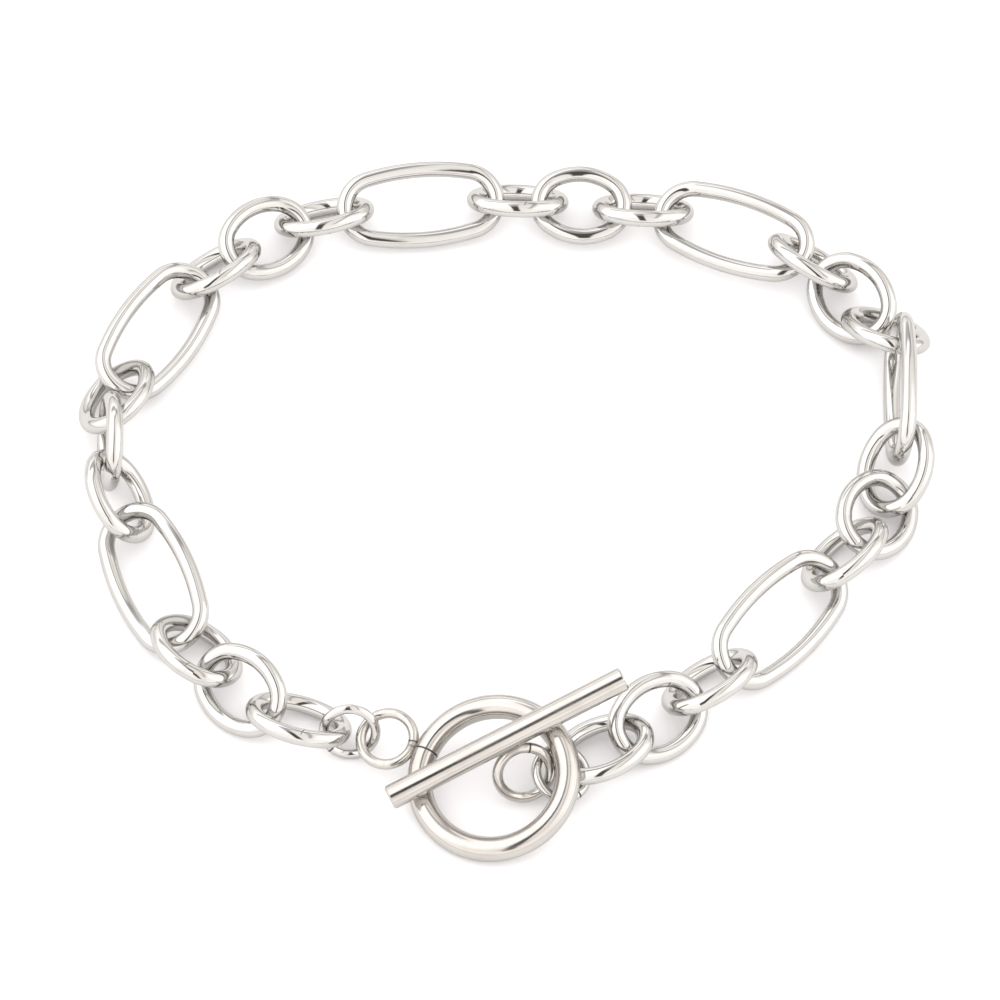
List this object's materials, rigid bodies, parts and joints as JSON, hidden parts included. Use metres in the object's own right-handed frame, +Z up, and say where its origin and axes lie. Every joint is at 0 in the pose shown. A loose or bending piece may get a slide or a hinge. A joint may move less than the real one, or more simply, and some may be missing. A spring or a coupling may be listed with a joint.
{
  "type": "link bracelet",
  "caption": "Chain bracelet of long and small oval wire links with a ring-and-bar toggle clasp, closed and lying flat.",
  "frame": {"origin": "centre of the bounding box's base, on the surface that the bracelet lies on", "axes": "+Z up from the surface, -Y towards the toggle clasp, +X to the right for someone on the clasp's side"},
  "size_m": [0.0717, 0.0688, 0.0089],
  "materials": {
    "link_metal": "mirror-polished stainless steel",
    "jump_ring_metal": "polished stainless steel wire",
    "clasp_metal": "polished stainless steel, a little softer than the links"
  },
  "bodies": {
    "root": {"small_link_01": "link_metal", "small_link_02": "link_metal", "small_link_03": "link_metal", "long_link_01": "link_metal", "small_link_04": "link_metal", "small_link_05": "link_metal", "small_link_06": "link_metal", "long_link_02": "link_metal", "small_link_07": "link_metal", "small_link_08": "link_metal", "small_link_09": "link_metal", "long_link_03": "link_metal", "small_link_10": "link_metal", "small_link_11": "link_metal", "small_link_12": "link_metal", "long_link_04": "link_metal", "small_link_13": "link_metal", "small_link_14": "link_metal", "small_link_15": "link_metal", "long_link_05": "link_metal", "small_link_16": "link_metal", "small_link_17": "link_metal", "small_link_18": "link_metal", "long_link_06": "link_metal", "small_link_19": "link_metal", "small_link_20": "link_metal", "small_link_21": "link_metal", "jump_ring_ring_side": "jump_ring_metal", "jump_ring_bar_side": "jump_ring_metal", "toggle_ring": "clasp_metal", "toggle_bar": "clasp_metal"}
  },
  "joints": []
}
